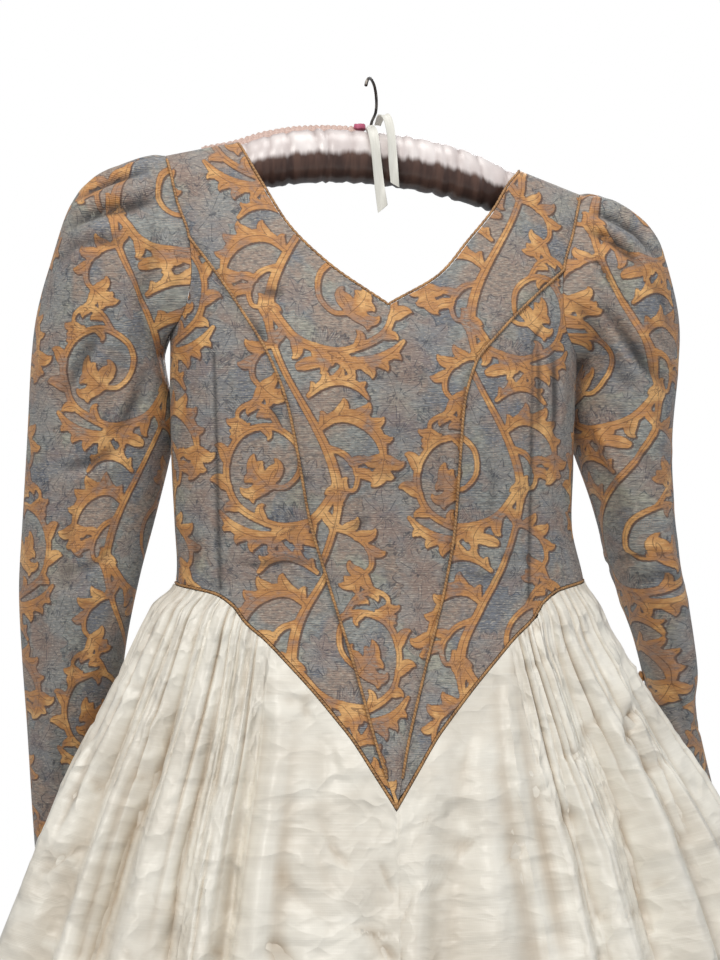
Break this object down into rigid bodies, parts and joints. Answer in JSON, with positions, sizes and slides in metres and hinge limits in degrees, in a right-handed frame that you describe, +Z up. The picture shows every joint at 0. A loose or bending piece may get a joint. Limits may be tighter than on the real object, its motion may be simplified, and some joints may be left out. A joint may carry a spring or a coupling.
{
  "type": "wedding dress on a padded hanger",
  "caption": "Long-sleeved dress with a pointed brocade bodice and a full gathered silk skirt, hanging from a padded satin hanger with a steel hook.",
  "frame": {"origin": "inner crown of the hanger's hook, where a rail holds it", "axes": "+Z up, -Y towards the front of the dress, +X towards the picture's right (the wearer's left)"},
  "size_m": [1.1327, 0.7996, 1.4766],
  "materials": {
    "brocade": "woven jacquard in slate blue, mauve grey and gold",
    "gold_cord": "satin covered cord",
    "silk": "ivory slubbed silk",
    "satin": "pale satin over padding",
    "ribbon": "ivory satin ribbon",
    "rose": "folded ribbon",
    "steel": "dark polished wire"
  },
  "bodies": {
    "root": {"back_button_1": "brocade", "back_button_2": "brocade", "back_button_3": "brocade", "back_button_4": "brocade", "back_button_5": "brocade", "back_button_6": "brocade", "back_button_7": "brocade", "bodice_back_left": "brocade", "bodice_back_right": "brocade", "bodice_centre_front": "brocade", "bodice_side_front_left": "brocade", "bodice_side_front_right": "brocade", "hanger_pad": "satin", "hook": "steel", "piping_neck_back": "gold_cord", "piping_neck_front": "gold_cord", "piping_princess_left": "gold_cord", "piping_princess_right": "gold_cord", "piping_waist_back": "gold_cord", "piping_waist_front": "gold_cord", "ribbon_knot": "ribbon", "ribbon_loop_tail": "ribbon", "ribbon_tail_front": "ribbon", "rosebud": "rose", "skirt_back_left": "silk", "skirt_back_right": "silk", "skirt_front": "silk", "skirt_side_left": "silk", "skirt_side_right": "silk", "sleeve_left": "brocade", "sleeve_right": "brocade", "wrist_button_left_1": "brocade", "wrist_button_left_2": "brocade", "wrist_button_left_3": "brocade", "wrist_button_left_4": "brocade", "wrist_button_left_5": "brocade", "wrist_button_left_6": "brocade", "wrist_button_right_1": "brocade", "wrist_button_right_2": "brocade", "wrist_button_right_3": "brocade", "wrist_button_right_4": "brocade", "wrist_button_right_5": "brocade", "wrist_button_right_6": "brocade"}
  },
  "joints": []
}
